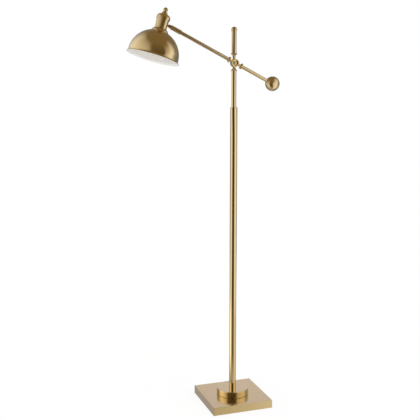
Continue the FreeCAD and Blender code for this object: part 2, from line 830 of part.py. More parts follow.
def swivel_stop():
    """The headed plug in the arm tube's end that keeps the sleeve on."""
    plug = tube(WIRE_R, ARM_R - ARM_WALL - SEAT, arm_tube_end - STOP_PLUG, arm_tube_end)
    head = tube(WIRE_R, stop_r, arm_tube_end, arm_tube_end + STOP_HEAD)
    return on_arm(plug.fuse(head).removeSplitter())


# ---- Swivel sleeve and knuckle ----

def swivel_sleeve():
    """The sleeve that turns on the arm's end and holds the fork."""
    body = lathe(
        (0, sleeve_inner),
        (sleeve_r - SLEEVE_EDGE, sleeve_inner),
        (sleeve_r, sleeve_inner + SLEEVE_EDGE),
        (sleeve_r, sleeve_outer - SLEEVE_EDGE),
        (sleeve_r - SLEEVE_EDGE, sleeve_outer),
        (0, sleeve_outer))
    cavity_foot = arm_tube_end - FLAT_GAP
    body = body.cut([
        rod(ARM_R + RUNNING, sleeve_inner, arm_tube_end),
        rod(stop_r + STOP_ROOM, cavity_foot, cavity_foot + STOP_CAVITY),
        rod(FORK_STUD_R + SEAT, cavity_foot, sleeve_outer)])
    return on_sleeve(body)


def knuckle_fork():
    """Two ears on a stud that screws into the sleeve."""
    root_face = ARM_TO_KNUCKLE - KNUCKLE_R - FLAT_GAP
    ears = rod_along_y(KNUCKLE_R, -ear_outer, ear_outer, z=ARM_TO_KNUCKLE)
    bridge = Part.makeBox(2 * KNUCKLE_R, 2 * ear_outer, ARM_TO_KNUCKLE - sleeve_outer,
                          V(-KNUCKLE_R, -ear_outer, sleeve_outer))
    root = rod(FORK_ROOT_R, sleeve_outer, root_face)
    stud = tube(WIRE_R, FORK_STUD_R, sleeve_outer - FORK_STUD, sleeve_outer)
    slot_half = TONGUE_THICK / 2 + FLAT_GAP
    slot = Part.makeBox(4 * KNUCKLE_R, 2 * slot_half, 4 * KNUCKLE_R,
                        V(-2 * KNUCKLE_R, -slot_half, root_face))
    pin = rod_along_y(KNUCKLE_PIN_R + SEAT, -ear_outer, ear_outer, z=ARM_TO_KNUCKLE)
    wire = rod(WIRE_R, sleeve_outer, root_face)
    body = ears.fuse([bridge, root]).cut([slot, pin, wire]).fuse(stud)
    return on_sleeve(body.removeSplitter())


def knuckle_screw():
    head = rod_along_y(KNUCKLE_HEAD_R, -ear_outer - KNUCKLE_HEAD, -ear_outer)
    head = round_edges(head, KNUCKLE_HEAD / 4,
                       lambda edge: edge.CenterOfMass.y < -ear_outer - KNUCKLE_HEAD / 2)
    slot = Part.makeBox(2 * KNUCKLE_HEAD_R, KNUCKLE_SLOT, KNUCKLE_SLOT,
                        V(-KNUCKLE_HEAD_R, -ear_outer - KNUCKLE_HEAD, -KNUCKLE_SLOT / 2))
    shank = rod_along_y(KNUCKLE_PIN_R, -ear_outer, ear_outer + KNUCKLE_NUT)
    return on_sleeve(head.cut(slot).fuse(shank).translated(V(0, 0, ARM_TO_KNUCKLE)))


def knuckle_nut():
    body = hexagon(KNUCKLE_NUT_FLATS, 0, KNUCKLE_NUT)
    body = body.cut(rod(KNUCKLE_PIN_R + SEAT, 0, KNUCKLE_NUT))
    body.rotate(V(0, 0, 0), X_AXIS, -90)
    return on_sleeve(body.translated(V(0, ear_outer, ARM_TO_KNUCKLE)))


# ---- Socket cup ----

def cup_cone(depth):
    """The solid cone inside a surface that lies the given depth under the cup's."""
    return lathe(
        (0, cup_foot),
        (cup_radius(cup_foot) - depth, cup_foot),
        (cup_radius(cup_top) - depth, cup_top),
        (0, cup_top))


def socket_cup():
    """The tapered cup around the lamp holder, with a bead round its foot."""
    bead_mid = cup_foot + CUP_BEAD / 2
    body = lathe(
        (cup_foot_r - CUP_WALL, cup_foot),
        (cup_foot_r, cup_foot),
        ((cup_foot_r + CUP_BEAD_BULGE, bead_mid), (cup_foot_r, cup_foot + CUP_BEAD)),
        (cup_top_r, cup_top),
        (cup_top_r - CUP_WALL, cup_top),
        (cup_foot_r - CUP_WALL, cup_foot + CUP_BEAD))
    rivet = Part.makeCylinder(RIVET_R + SEAT, cup_top_r, V(0, 0, knuckle_height), X_AXIS)
    return on_head(body.cut(rivet))


def knuckle_tongue():
    """The eye that the cup hangs by, riveted through the cup's wall."""
    wall_out = cup_radius(knuckle_height)
    wall_in = wall_out - CUP_WALL
    half = TONGUE_THICK / 2
    pin = V(knuckle_across, 0, knuckle_height)
    eye = rod_along_y(KNUCKLE_R, -half, half, x=pin.x, z=pin.z)
    web = Part.makeBox(pin.x - wall_out, TONGUE_THICK, TONGUE_WEB,
                       V(wall_out, -half, pin.z - TONGUE_WEB / 2))
    flange = Part.makeCylinder(TONGUE_FLANGE_R, wall_out - wall_in + TONGUE_FLANGE,
                               V(wall_in, 0, pin.z), X_AXIS)
    rivet = Part.makeCylinder(RIVET_R, wall_out - wall_in + RIVET_HEAD + TONGUE_FLANGE,
                              V(wall_in - RIVET_HEAD, 0, pin.z), X_AXIS)
    rivet_head = Part.makeCylinder(RIVET_HEAD_R, 2 * RIVET_HEAD,
                                   V(wall_in - 2 * RIVET_HEAD, 0, pin.z), X_AXIS)
    rivet_head = rivet_head.common(cup_cone(CUP_WALL + SEAT))
    hole = rod_along_y(KNUCKLE_PIN_R + RUNNING, -half, half, x=pin.x, z=pin.z)
    body = eye.fuse([web, flange]).cut(cup_cone(0))
    body = body.fuse([rivet, rivet_head]).cut(hole)
    return on_head(body.removeSplitter())


def cup_cap():
    """The round-shouldered cap over the cup."""
    shoulder_foot = cap_foot + CAP_BAND
    reach = cap_r - CAP_TOP_R
    rise = cap_top - shoulder_foot
    outer_mid = (CAP_TOP_R + reach * DIAGONAL, shoulder_foot + rise * DIAGONAL)
    inner_mid = inside(outer_mid, CAP_WALL)
    lap_r = cup_top_r + SEAT
    return on_head(lathe(
        (SWITCH_SHOULDER_R + SEAT, cap_top),
        (CAP_TOP_R, cap_top),
        (outer_mid, (cap_r, shoulder_foot)),
        (cap_r, cap_foot),
        (lap_r, cap_foot),
        (lap_r, cup_top),
        (cap_r - CAP_WALL, shoulder_foot),
        (inner_mid, (CAP_TOP_R, cap_top - CAP_WALL)),
        (SWITCH_SHOULDER_R + SEAT, cap_top - CAP_WALL)))


def bridge_screw_places():
    return [V(x, 0, 0) for x in (-BRIDGE_SCREW_OFFSET, BRIDGE_SCREW_OFFSET)]


def holder_bridge():
    """The strap across the cup that the lamp holder is screwed to."""
    top = holder_top + BRIDGE_THICK
    reach = cup_radius(holder_top) - CUP_WALL - SEAT
    strap = Part.makeBox(2 * reach, BRIDGE_WIDTH, BRIDGE_THICK,
                         V(-reach, -BRIDGE_WIDTH / 2, holder_top))
    strap = strap.common(rod(reach, holder_top, top))
    hole = rod(BRIDGE_SCREW_R + SEAT, holder_top, top)
    wire = rod(PIPE_BORE_R, holder_top, top)
    return on_head(strap.cut(at_places(hole, bridge_screw_places()) + [wire]))


def bridge_screws():
    top = holder_top + BRIDGE_THICK
    head = rod(BRIDGE_SCREW_HEAD_R, top, top + BRIDGE_SCREW_HEAD)
    shank = rod(BRIDGE_SCREW_R, top - BRIDGE_SCREW_LENGTH, top)
    screw = head.fuse(shank).removeSplitter()
    return on_head(Part.makeCompound(at_places(screw, bridge_screw_places())))


def lamp_holder():
    """The insulating body that the screw shell sits in."""
    body = rod(HOLDER_R, holder_foot, holder_top)
    bore = rod(HOLDER_BORE_R, holder_foot, holder_bore_top)
    wire = rod(WIRE_R, holder_bore_top, holder_top)
    screw = rod(BRIDGE_SCREW_R + SEAT, holder_top - BRIDGE_SCREW_LENGTH, holder_top)
    return on_head(body.cut([bore, wire] + at_places(screw, bridge_screw_places())))


def screw_shell():
    outer_r = HOLDER_BORE_R - SEAT
    return on_head(tube(outer_r - SHELL_WALL, outer_r, holder_foot + SHELL_DEPTH,
                        holder_bore_top - SHELL_ROOM))


def centre_contact():
    """The contact in the holder's roof that the bulb's tip presses on."""
    disc = tube(WIRE_R, BULB_CONTACT_R, holder_bore_top - CONTACT_THICK, holder_bore_top)
    tongue = rod(CONTACT_R, bulb_contact_top, holder_bore_top - CONTACT_THICK)
    return on_head(disc.fuse(tongue).removeSplitter())


def saucer():
    """The flared plate between the cup's foot and the top of the shade."""
    edge_foot = point_on_circle(DOME_RISE, DOME_R, SAUCER_R)
    inner_foot = point_on_circle(DOME_RISE, DOME_R, SAUCER_R - SAUCER_WALL)
    rim = edge_foot + SAUCER_WALL
    bore_r = HOLDER_R + SEAT
    ledge_r = cup_foot_r + SAUCER_LEDGE
    across, down = SAUCER_BULGE
    bulge = (ledge_r + across * (SAUCER_R - ledge_r), cup_foot - down * (cup_foot - rim))
    return on_head(lathe(
        (bore_r, cup_foot),
        (ledge_r, cup_foot),
        (bulge, (SAUCER_R, rim)),
        (SAUCER_R, edge_foot + SEAT),
        (SAUCER_R - SAUCER_WALL, inner_foot + SEAT),
        (inside(bulge, SAUCER_WALL), (ledge_r, cup_foot - SAUCER_WALL)),
        (bore_r, cup_foot - SAUCER_WALL)))


def shade_ring():
    """The threaded ring that clamps the shade from inside."""
    top = point_on_circle(DOME_RISE, DOME_R - SHADE_WALL, shade_ring_r) - SEAT
    return on_head(tube(HOLDER_R + SEAT, shade_ring_r, top - SHADE_RING_HEIGHT, top))


def shade():
    """The spun dome, hollow and open at the mouth, with a flared lip."""
    hole_r = HOLDER_R + SEAT
    inner_r = DOME_R - SHADE_WALL
    out, up = LIP_HOLLOW
    hollow = (DOME_R + out * LIP_FLARE, up * DOME_RISE)
    return on_head(lathe(
        (hole_r, point_on_circle(DOME_RISE, DOME_R, hole_r)),
        (circle_point(DOME_RISE, DOME_R, 45), (DOME_R, DOME_RISE)),
        (hollow, (lip_r, LIP_EDGE)),
        (lip_r, 0),
        (lip_r - LIP_EDGE, 0),
        (inside(hollow, SHADE_WALL), (inner_r, DOME_RISE)),
        (circle_point(DOME_RISE, inner_r, 45),
         (hole_r, point_on_circle(DOME_RISE, inner_r, hole_r)))))


# ---- Switch ----

def rotary_switch():
    """The switch under the cap, with a threaded shoulder up through it."""
    roof = cap_top - CAP_WALL
    body = rod(SWITCH_R, roof - SWITCH_LENGTH, roof)
    shoulder = rod(SWITCH_SHOULDER_R, roof, cap_top + SWITCH_SHOULDER)
    shaft = rod(SHAFT_R + RUNNING, knob_foot - SHAFT_DEPTH - FLAT_GAP, cap_top + SWITCH_SHOULDER)
    return on_head(body.fuse(shoulder).cut(shaft).removeSplitter())


def switch_bezel():
    """The cone-shaped nut that holds the switch in the cap."""
    top = cap_top + BEZEL_HEIGHT
    out, up = BEZEL_HOLLOW
    hollow = (BEZEL_TOP_R + out * (BEZEL_R - BEZEL_TOP_R), cap_top + up * BEZEL_HEIGHT)
    body = lathe(
        (SHAFT_R + LOOSE, cap_top),
        (BEZEL_R, cap_top),
        (BEZEL_R, cap_top + BEZEL_BAND),
        (hollow, (BEZEL_TOP_R, top)),
        (SHAFT_R + LOOSE, top))
    thread = rod(SWITCH_SHOULDER_R + SEAT, cap_top, cap_top + SWITCH_SHOULDER)
    return on_head(body.cut(thread))


def switch_shaft():
    return on_head(rod(SHAFT_R, knob_foot - SHAFT_DEPTH, knob_foot + KNOB_GRIP))


def switch_knob():
    """The ball knob on the switch's shaft."""
    neck_top = knob_foot + KNOB_NECK
    body = lathe(
        (0, knob_foot),
        (KNOB_NECK_R, knob_foot),
        (KNOB_NECK_R, neck_top),
        ((KNOB_R, knob_centre), (0, knob_centre + KNOB_R)))
    return on_head(body.cut(rod(SHAFT_R + SEAT, knob_foot, knob_foot + KNOB_GRIP)))


# ---- Bulb ----

def bulb_glass():
    """The glass envelope, hollow, from its neck in the base to its tip."""
    inner_r = BULB_R - BULB_GLASS_WALL
    neck_r = BULB_BASE_R - SEAT
    outer = glass_outline(BULB_R, neck_r)
    inner = glass_outline(inner_r, neck_r - BULB_GLASS_WALL)
    return on_head(outer.cut(inner))


def glass_outline(belly_r, neck_r):
    """A solid pear of the given belly and neck."""
    belly_low = circle_point(bulb_centre, belly_r, -45)
    belly_high = circle_point(bulb_centre, belly_r, 38)
    return lathe(
        (0, bulb_centre - belly_r),
        (belly_low, (belly_r, bulb_centre)),
        (circle_point(bulb_centre, belly_r, 19), belly_high),
        ((neck_r + BULB_NECK_EASE, bulb_base_foot - BULB_NECK_DROP), (neck_r, bulb_base_foot)),
        (neck_r, bulb_base_foot + BULB_NECK_LAP),
        (0, bulb_base_foot + BULB_NECK_LAP))


def bulb_base():
    """The bulb's screw base with its contact button."""
    wall_r = BULB_BASE_R + BULB_BASE_WALL
    body = tube(BULB_BASE_R, wall_r, bulb_base_foot, bulb_base_top)
    cone = Part.makeCone(wall_r, BULB_CONTACT_R, BULB_CONTACT,
                         V(0, 0, bulb_base_top))
    return on_head(body.fuse(cone).removeSplitter())


NODES = [
    base_pad, base_plate, base_screws, base_weight, base_nut, base_washer, base_cover,
    cord_bushing, base_spacer, step_cover, step_spacer, threaded_pipe,
    pole_foot, lower_tube, pole_coupler, upper_tube, pole_ring, guide_bush,
    stem_glide, stem_tube, stem_clips, lower_collar, hub_post, upper_collar,
    post_rod, post_cap, friction_ring, pivot_screw, spring_washer, cap_nut,
    hub_arm, shade_side_collar, ball_side_collar, arm_tube, counter_tube,
    counterweight, swivel_stop, swivel_sleeve, knuckle_fork, knuckle_screw,
    knuckle_nut, knuckle_tongue, socket_cup, cup_cap, holder_bridge,
    bridge_screws, lamp_holder, screw_shell, centre_contact, saucer,
    shade_ring, shade, rotary_switch, switch_bezel, switch_shaft, switch_knob,
    bulb_glass, bulb_base,
]

os.makedirs("parts", exist_ok=True)
for make in NODES:
    shape = make()
    if not shape.isValid() or shape.Volume <= 0:
        raise ValueError("the solid is faulty: " + make.__name__)
    shape.exportStep("parts/" + make.__name__ + ".step")

print("nodes", len(NODES))
print("hub height", round(hub_height, 2), "arm plane", round(arm_plane, 2))
print("knuckle", [round(value, 2) for value in knuckle_centre])
turn = FreeCAD.Rotation(arm_direction, SLEEVE_TURN)
mouth_centre = hub_centre + turn.multVec(shade_centre - hub_centre)
print("mouth centre", [round(value, 3) for value in mouth_centre])
print("shade's axis", [round(value, 6) for value in turn.multVec(head_direction)])
print("knuckle pin's axis", [round(value, 6) for value in turn.multVec(Y_AXIS)])
print("head: pin across", round(knuckle_across, 3), "pin height", round(knuckle_height, 3))
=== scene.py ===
import json
import math

import bmesh
import bpy
from mathutils import Matrix, Vector


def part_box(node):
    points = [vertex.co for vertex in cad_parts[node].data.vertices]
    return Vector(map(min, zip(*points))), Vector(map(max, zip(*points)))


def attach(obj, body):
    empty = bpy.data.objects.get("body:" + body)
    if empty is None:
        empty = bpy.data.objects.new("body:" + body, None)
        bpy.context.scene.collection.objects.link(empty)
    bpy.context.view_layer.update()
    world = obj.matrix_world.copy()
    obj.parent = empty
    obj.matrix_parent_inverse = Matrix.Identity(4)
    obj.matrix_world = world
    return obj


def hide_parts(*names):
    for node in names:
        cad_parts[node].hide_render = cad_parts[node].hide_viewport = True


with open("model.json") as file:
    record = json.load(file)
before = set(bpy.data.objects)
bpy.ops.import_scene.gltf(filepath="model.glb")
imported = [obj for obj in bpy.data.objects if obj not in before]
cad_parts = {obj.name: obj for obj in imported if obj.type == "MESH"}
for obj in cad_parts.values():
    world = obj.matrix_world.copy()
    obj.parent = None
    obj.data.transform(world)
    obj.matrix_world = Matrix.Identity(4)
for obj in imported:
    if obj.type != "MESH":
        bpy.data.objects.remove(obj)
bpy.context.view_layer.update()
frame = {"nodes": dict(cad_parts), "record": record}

# Pharmacy floor lamp in satin brass, in metres.
# +Z runs up the pole, -Y is the side that the hub's screw faces, and the arm carries its
# shade towards -X and its ball towards +X.

MM = 0.001
WHITE = (1.0, 1.0, 1.0, 1.0)
JOINTS = {joint["name"]: joint for joint in frame["record"]["behaviour"]["joints"]}
UP = Vector((0, 0, 1))


# ---- The lamp's axes ----

def axis_frame(place, direction):
    """A frame at a place whose Z runs along a direction."""
    turn = UP.rotation_difference(Vector(direction)).to_matrix().to_4x4()
    return Matrix.Translation(Vector(place)) @ turn


HUB = Vector(JOINTS["arm_tilt"]["pos_m"])
ARM_LINE = Vector(JOINTS["sleeve_swivel"]["axis"])
HEAD_LINE = Vector(JOINTS["switch_turn"]["axis"])
KNUCKLE = Vector(JOINTS["head_tilt"]["pos_m"])
ball_low, ball_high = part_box("counterweight")
BALL_CENTRE = (Vector(ball_low) + Vector(ball_high)) / 2

POLE_FRAME = Matrix.Identity(4)
HUB_FRAME = axis_frame(HUB, (0, 1, 0))
ARM_FRAME = axis_frame(HUB, ARM_LINE)
BALL_FRAME = axis_frame(BALL_CENTRE, ARM_LINE)
HEAD_FRAME = axis_frame(JOINTS["switch_turn"]["pos_m"], HEAD_LINE)
KNUCKLE_FRAME = axis_frame(KNUCKLE, JOINTS["head_tilt"]["axis"])


# ---- Materials ----

def colour(hex_code):
    """An sRGB hex colour as linear red, green, blue and alpha."""
    values = [int(hex_code[i:i + 2], 16) / 255 for i in (1, 3, 5)]
    linear = [v / 12.92 if v <= 0.04045 else ((v + 0.055) / 1.055) ** 2.4 for v in values]
    return (*linear, 1.0)


def add(tree, kind, settings=None, **inputs):
    """Add a node, apply its settings, and set or link its inputs by name.

    An input's name has _ for a space, and a lone digit is an input's number.
    """
    node = tree.nodes.new(kind)
    for key, value in (settings or {}).items():
        setattr(node, key, value)
    for key, value in inputs.items():
        name = key.replace("_", " ")
        socket = node.inputs[int(name[1:])] if name[1:].isdigit() else node.inputs[name]
        if isinstance(value, bpy.types.NodeSocket):
            tree.links.new(value, socket)
        else:
            socket.default_value = value
    return node


def new_material(name):
    """An empty node material, with its tree and its output node."""
    material = bpy.data.materials.new(name)
    material.use_nodes = True
    tree = material.node_tree
    tree.nodes.clear()
    return material, tree, tree.nodes.new("ShaderNodeOutputMaterial")


def local_point(tree, place):
    """The shading point in a frame of the lamp, from the object's own coordinates."""
    coordinates = add(tree, "ShaderNodeTexCoord")
    mapping = add(tree, "ShaderNodeMapping", {"vector_type": "TEXTURE"},
                  Vector=coordinates.outputs["Object"],
                  Location=place.to_translation(), Rotation=place.to_euler())
    return mapping.outputs["Vector"]


ALONG_THE_BRUSH = 0.02      # how much a straight line changes along its length
ROUND_THE_RINGS = 0.01      # how much a turned ring changes on its way round


def across_the_grain(tree, point, grain):
    """A vector that changes quickly across a brushed grain and slowly along it.

    Turned grain runs in rings about the frame's Z, so it changes with radius and height.
    Straight grain runs along the frame's X.
    """
    if grain == "straight":
        squeeze = add(tree, "ShaderNodeVectorMath", {"operation": "MULTIPLY"},
                      _0=point, _1=(ALONG_THE_BRUSH, 1.0, 1.0))
        return squeeze.outputs["Vector"]
    parts = add(tree, "ShaderNodeSeparateXYZ", Vector=point)
    level = add(tree, "ShaderNodeVectorMath", {"operation": "MULTIPLY"},
                _0=point, _1=(1.0, 1.0, 0.0))
    radius = add(tree, "ShaderNodeVectorMath", {"operation": "LENGTH"},
                 _0=level.outputs["Vector"])
    ring = add(tree, "ShaderNodeCombineXYZ", X=radius.outputs["Value"],
               Y=parts.outputs["Z"])
    drift = add(tree, "ShaderNodeVectorMath", {"operation": "MULTIPLY_ADD"},
                _0=level.outputs["Vector"], _1=(ROUND_THE_RINGS, ROUND_THE_RINGS, 0.0),
                _2=ring.outputs["Vector"])
    return drift.outputs["Vector"]


NOISE_LOW, NOISE_HIGH = 0.3, 0.7    # nearly all of a noise lies between these
LINE_SPACING = 0.6 * MM     # real satin lines are about 0.1 mm apart, too fine to show
STREAK_WIDTH = 14 * MM      # patches that the buff left a little duller
CLOUD_WIDTH = 60 * MM       # slow change of tone in the lacquer
DEEPER = (0.93, 0.916, 0.884)       # share of red, green and blue in the deepest tone
BUFFED, DULLED = 0.9, 1.12          # share of the roughness on and off the buffed streaks
LINE_GLOSS = 0.02           # how far a single line is rougher or smoother
LINE_STRENGTH = 0.6
LACQUER_ROUGHNESS = 0.12
LACQUER_IOR = 1.5


def brass(name, place, grain, hex_code, roughness, depth=0.0003 * MM, coat=0.6):
    """Brass with fine turned or brushed lines, under a clear lacquer where it has a coat."""
    material, tree, output = new_material(name)
    point = local_point(tree, place)
    grain_vector = across_the_grain(tree, point, grain)
    lines = add(tree, "ShaderNodeTexNoise", Vector=grain_vector, Scale=1 / LINE_SPACING,
                Detail=3.0, Roughness=0.6)
    streaks = add(tree, "ShaderNodeTexNoise", Vector=grain_vector, Scale=1 / STREAK_WIDTH,
                  Detail=2.0, Roughness=0.5)
    cloud = add(tree, "ShaderNodeTexNoise", Vector=point, Scale=1 / CLOUD_WIDTH, Detail=2.0)
    plain = colour(hex_code)
    deep = [value * share for value, share in zip(plain, DEEPER)]
    tone = add(tree, "ShaderNodeMix", {"data_type": "RGBA"},
               Factor=cloud.outputs["Fac"], A=plain, B=(*deep, 1.0))
    rough = add(tree, "ShaderNodeMapRange", Value=streaks.outputs["Fac"],
                From_Min=NOISE_LOW, From_Max=NOISE_HIGH,
                To_Min=roughness * BUFFED, To_Max=roughness * DULLED)
    fine = add(tree, "ShaderNodeMapRange", Value=lines.outputs["Fac"],
               From_Min=NOISE_LOW, From_Max=NOISE_HIGH,
               To_Min=-LINE_GLOSS, To_Max=LINE_GLOSS)
    total = add(tree, "ShaderNodeMath", {"operation": "ADD"},
                _0=rough.outputs["Result"], _1=fine.outputs["Result"])
    bump = add(tree, "ShaderNodeBump", Height=lines.outputs["Fac"], Distance=depth,
               Strength=LINE_STRENGTH)
    shader = add(tree, "ShaderNodeBsdfPrincipled", Base_Color=tone.outputs["Result"],
                 Metallic=1.0, Roughness=total.outputs["Value"],
                 Normal=bump.outputs["Normal"], Coat_Weight=coat,
                 Coat_Roughness=LACQUER_ROUGHNESS, Coat_IOR=LACQUER_IOR)
    tree.links.new(shader.outputs["BSDF"], output.inputs["Surface"])
    return material


GRITS_TO_A_PATCH = 8        # the surface texture is this much finer than the mottling
SHINIEST, DULLEST = 0.88, 1.12      # share of the roughness at the gloss's two ends
GRIT_STRENGTH = 0.5


def plain_finish(name, hex_code, roughness, metallic=0.0, mottle=8 * MM, contrast=0.12, pit=0.0,
                 coat=0.0, sheen=0.0):
    """A plain finish with a mottled tone, an uneven gloss and a fine surface texture."""
    material, tree, output = new_material(name)
    coordinates = add(tree, "ShaderNodeTexCoord")
    point = coordinates.outputs["Object"]
    patches = add(tree, "ShaderNodeTexNoise", Vector=point, Scale=1 / mottle, Detail=4.0)
    grit = add(tree, "ShaderNodeTexNoise", Vector=point, Scale=GRITS_TO_A_PATCH / mottle,
               Detail=3.0)
    darker = [v * (1 - contrast) for v in colour(hex_code)[:3]]
    tone = add(tree, "ShaderNodeMix", {"data_type": "RGBA"},
               Factor=patches.outputs["Fac"], A=colour(hex_code), B=(*darker, 1.0))
    rough = add(tree, "ShaderNodeMapRange", Value=grit.outputs["Fac"],
                From_Min=NOISE_LOW, From_Max=NOISE_HIGH,
                To_Min=roughness * SHINIEST, To_Max=roughness * DULLEST)
    bump = add(tree, "ShaderNodeBump", Height=grit.outputs["Fac"], Distance=pit,
               Strength=GRIT_STRENGTH)
    shader = add(tree, "ShaderNodeBsdfPrincipled", Base_Color=tone.outputs["Result"],
                 Metallic=metallic, Roughness=rough.outputs["Result"],
                 Normal=bump.outputs["Normal"], Coat_Weight=coat, Sheen_Weight=sheen)
    tree.links.new(shader.outputs["BSDF"], output.inputs["Surface"])
    return material


SATIN = "#DDC695"
POLISHED = "#DFC893"

# Drawn tube, buffed round its girth and lacquered: one tall clean highlight up each side,
# with faint rings across it.
satin_pole = brass("lacquered_brass_drawn_tube", POLE_FRAME, "turned", SATIN, 0.12)
# Pressed sheet brushed from side to side: fine straight lines that draw the light out
# along them and blur what stands on the plate.
satin_base = brass("lacquered_brass_brushed_plate", POLE_FRAME, "straight", SATIN, 0.20)
# Spun and polished nearly bright: the wall mirrors the base and the dark of the room.
satin_step = brass("lacquered_brass_spun_step", POLE_FRAME, "turned", SATIN, 0.11,
                   depth=0.0001 * MM)
# Drawn slim tube with a duller satin: the light spreads right across it.
satin_arm = brass("lacquered_brass_satin_arm", ARM_FRAME, "turned", SATIN, 0.34,
                  depth=0.00008 * MM)
# Turned ball in satin: a soft glow low down and a soft dark middle.
satin_ball = brass("lacquered_brass_turned_ball", BALL_FRAME, "turned", SATIN, 0.30)
# Spun sheet in satin: broad soft bands of light that follow the dome, in faint rings.
satin_head = brass("lacquered_brass_spun_shade", HEAD_FRAME, "turned", SATIN, 0.18)
# Small parts turned from bar and polished: sharp bright and dark rims at every edge.
turned_post = brass("polished_brass_turned_post", POLE_FRAME, "turned", POLISHED, 0.16)
turned_hub = brass("polished_brass_turned_hub", HUB_FRAME, "turned", POLISHED, 0.16)
turned_arm = brass("polished_brass_turned_collars", ARM_FRAME, "turned", POLISHED, 0.16)
turned_knuckle = brass("polished_brass_turned_knuckle", KNUCKLE_FRAME, "turned", POLISHED,
                       0.16)
turned_knob = brass("polished_brass_turned_knob", HEAD_FRAME, "turned", POLISHED, 0.14)
# Turned brass left bare inside the lamp: yellower and duller, with no lacquer on it.
bare_brass = brass("bare_brass_turned", HEAD_FRAME, "turned", "#D8B974", 0.25, coat=0.0)

# Sprayed and baked enamel: an even warm white with a soft gloss and hardly any texture.
enamel = plain_finish("baked_white_enamel", "#F4F2EE", 0.32, mottle=6 * MM, contrast=0.02,
                      pit=0.001 * MM, coat=0.3)
# Plated steel: cool grey metal whose gloss is cloudy from the plating bath.
zinc = plain_finish("zinc_plated_steel", "#C4C6C4", 0.35, metallic=1.0, pit=0.005 * MM)
# Sand cast iron under paint: near black, dull and pitted.
iron = plain_finish("painted_cast_iron", "#33322F", 0.6, pit=0.2 * MM)
# Pressed wool: black fibres of uneven tone with a faint haze over them.
felt = plain_finish("pressed_black_felt", "#1B1B1A", 0.95, mottle=2 * MM, contrast=0.4,
                    pit=0.2 * MM, sheen=0.3)
# Moulded rubber: a soft black with a low shine.
rubber = plain_finish("moulded_black_rubber", "#1E1D1C", 0.45, pit=0.02 * MM)
# Moulded nylon: milky and slightly waxy.
nylon = plain_finish("moulded_natural_nylon", "#E8E4D6", 0.4, pit=0.01 * MM)
# Pressed fibre board: mottled brown, dull and a little furry.
fibre = plain_finish("pressed_brown_fibre", "#6A4A30", 0.7, mottle=2 * MM, contrast=0.3,
                     pit=0.04 * MM)
# Moulded phenolic: nearly black, hard and glossy from its mould.
phenolic = plain_finish("moulded_black_phenolic", "#221D1B", 0.32, pit=0.01 * MM)
# Pressed aluminium: a pale neutral metal, slightly dulled by its press.
aluminium = plain_finish("pressed_aluminium", "#D6D6D2", 0.3, metallic=1.0, pit=0.005 * MM)
# Blown glass etched inside: an even white skin with a smooth shine over it.
frosted = plain_finish("blown_frosted_glass", "#F6F4EE", 0.35, contrast=0.01, coat=0.5)

FINISHES = {
    satin_base: ["base_cover"],
    satin_step: ["step_cover"],
    satin_pole: ["lower_tube", "upper_tube", "pole_ring", "stem_tube", "post_rod"],
    turned_post: ["lower_collar", "upper_collar", "post_cap", "hub_post"],
    turned_hub: ["hub_arm", "pivot_screw", "cap_nut"],
    turned_arm: ["shade_side_collar", "ball_side_collar"],
    satin_arm: ["arm_tube", "counter_tube", "swivel_sleeve"],
    satin_ball: ["counterweight"],
    turned_knuckle: ["knuckle_fork", "knuckle_screw", "knuckle_nut", "knuckle_tongue"],
    satin_head: ["socket_cup", "cup_cap", "saucer", "switch_bezel"],
    turned_knob: ["switch_knob"],
    bare_brass: ["stem_glide", "swivel_stop", "screw_shell", "centre_contact",
                 "switch_shaft"],
    zinc: ["base_plate", "base_screws", "base_nut", "base_washer", "base_spacer",
           "step_spacer", "threaded_pipe", "pole_foot", "pole_coupler", "stem_clips",
           "spring_washer", "holder_bridge", "bridge_screws"],
    iron: ["base_weight"],
    felt: ["base_pad"],
    rubber: ["cord_bushing"],
    nylon: ["guide_bush"],
    fibre: ["friction_ring"],
    phenolic: ["lamp_holder", "shade_ring", "rotary_switch"],
    aluminium: ["bulb_base"],
    frosted: ["bulb_glass"],
}
for material, names in FINISHES.items():
    for name in names:
        for slot in frame["nodes"][name].material_slots:
            slot.material = material


# ---- The shade ----

DOME_R = 97 * MM
DOME_RISE = 9.5 * MM        # the dome's centre above the mouth
HOLE_R = 19.5 * MM
SHADE_WALL = 0.9 * MM
FLARE_R = 9.474 * MM        # radius of the lip's hollow
FLARE_TURN = math.radians(65.2)
DOME_STEPS = 48
LIP_STEPS = 12
STEPS_AROUND = 192
SEAM = 0.001 * MM           # vertices closer than this are one


def arc(bm, start, centre, turn, steps):
    """Sweep a vertex about a centre in the X-Z plane and return the arc's last vertex."""
    made = bmesh.ops.spin(bm, geom=[start], cent=centre, axis=(0, 1, 0), dvec=(0, 0, 0),
                          angle=turn, steps=steps, use_duplicate=False)
    return [item for item in made["geom_last"] if isinstance(item, bmesh.types.BMVert)][0]


def revolve(bm, steps):
    """Turn everything in the mesh into a full turn about Z."""
    bmesh.ops.spin(bm, geom=bm.verts[:] + bm.edges[:], cent=(0, 0, 0), axis=(0, 0, 1),
                   dvec=(0, 0, 0), angle=math.tau, steps=steps, use_merge=True,
                   use_duplicate=False)
    bmesh.ops.remove_doubles(bm, verts=bm.verts[:], dist=SEAM)


def finish_piece(bm, name, place, materials, body):
    """Make a mesh object of the bmesh, put its place in its mesh and let it ride."""
    bmesh.ops.recalc_face_normals(bm, faces=bm.faces[:])
    bmesh.ops.transform(bm, matrix=place, verts=bm.verts[:])
    for face in bm.faces:
        face.smooth = True
    mesh = bpy.data.meshes.new(name)
    bm.to_mesh(mesh)
    bm.free()
    for material in materials:
        mesh.materials.append(material)
    piece = bpy.data.objects.new(name, mesh)
    bpy.context.scene.collection.objects.link(piece)
    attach(piece, body)
    return piece


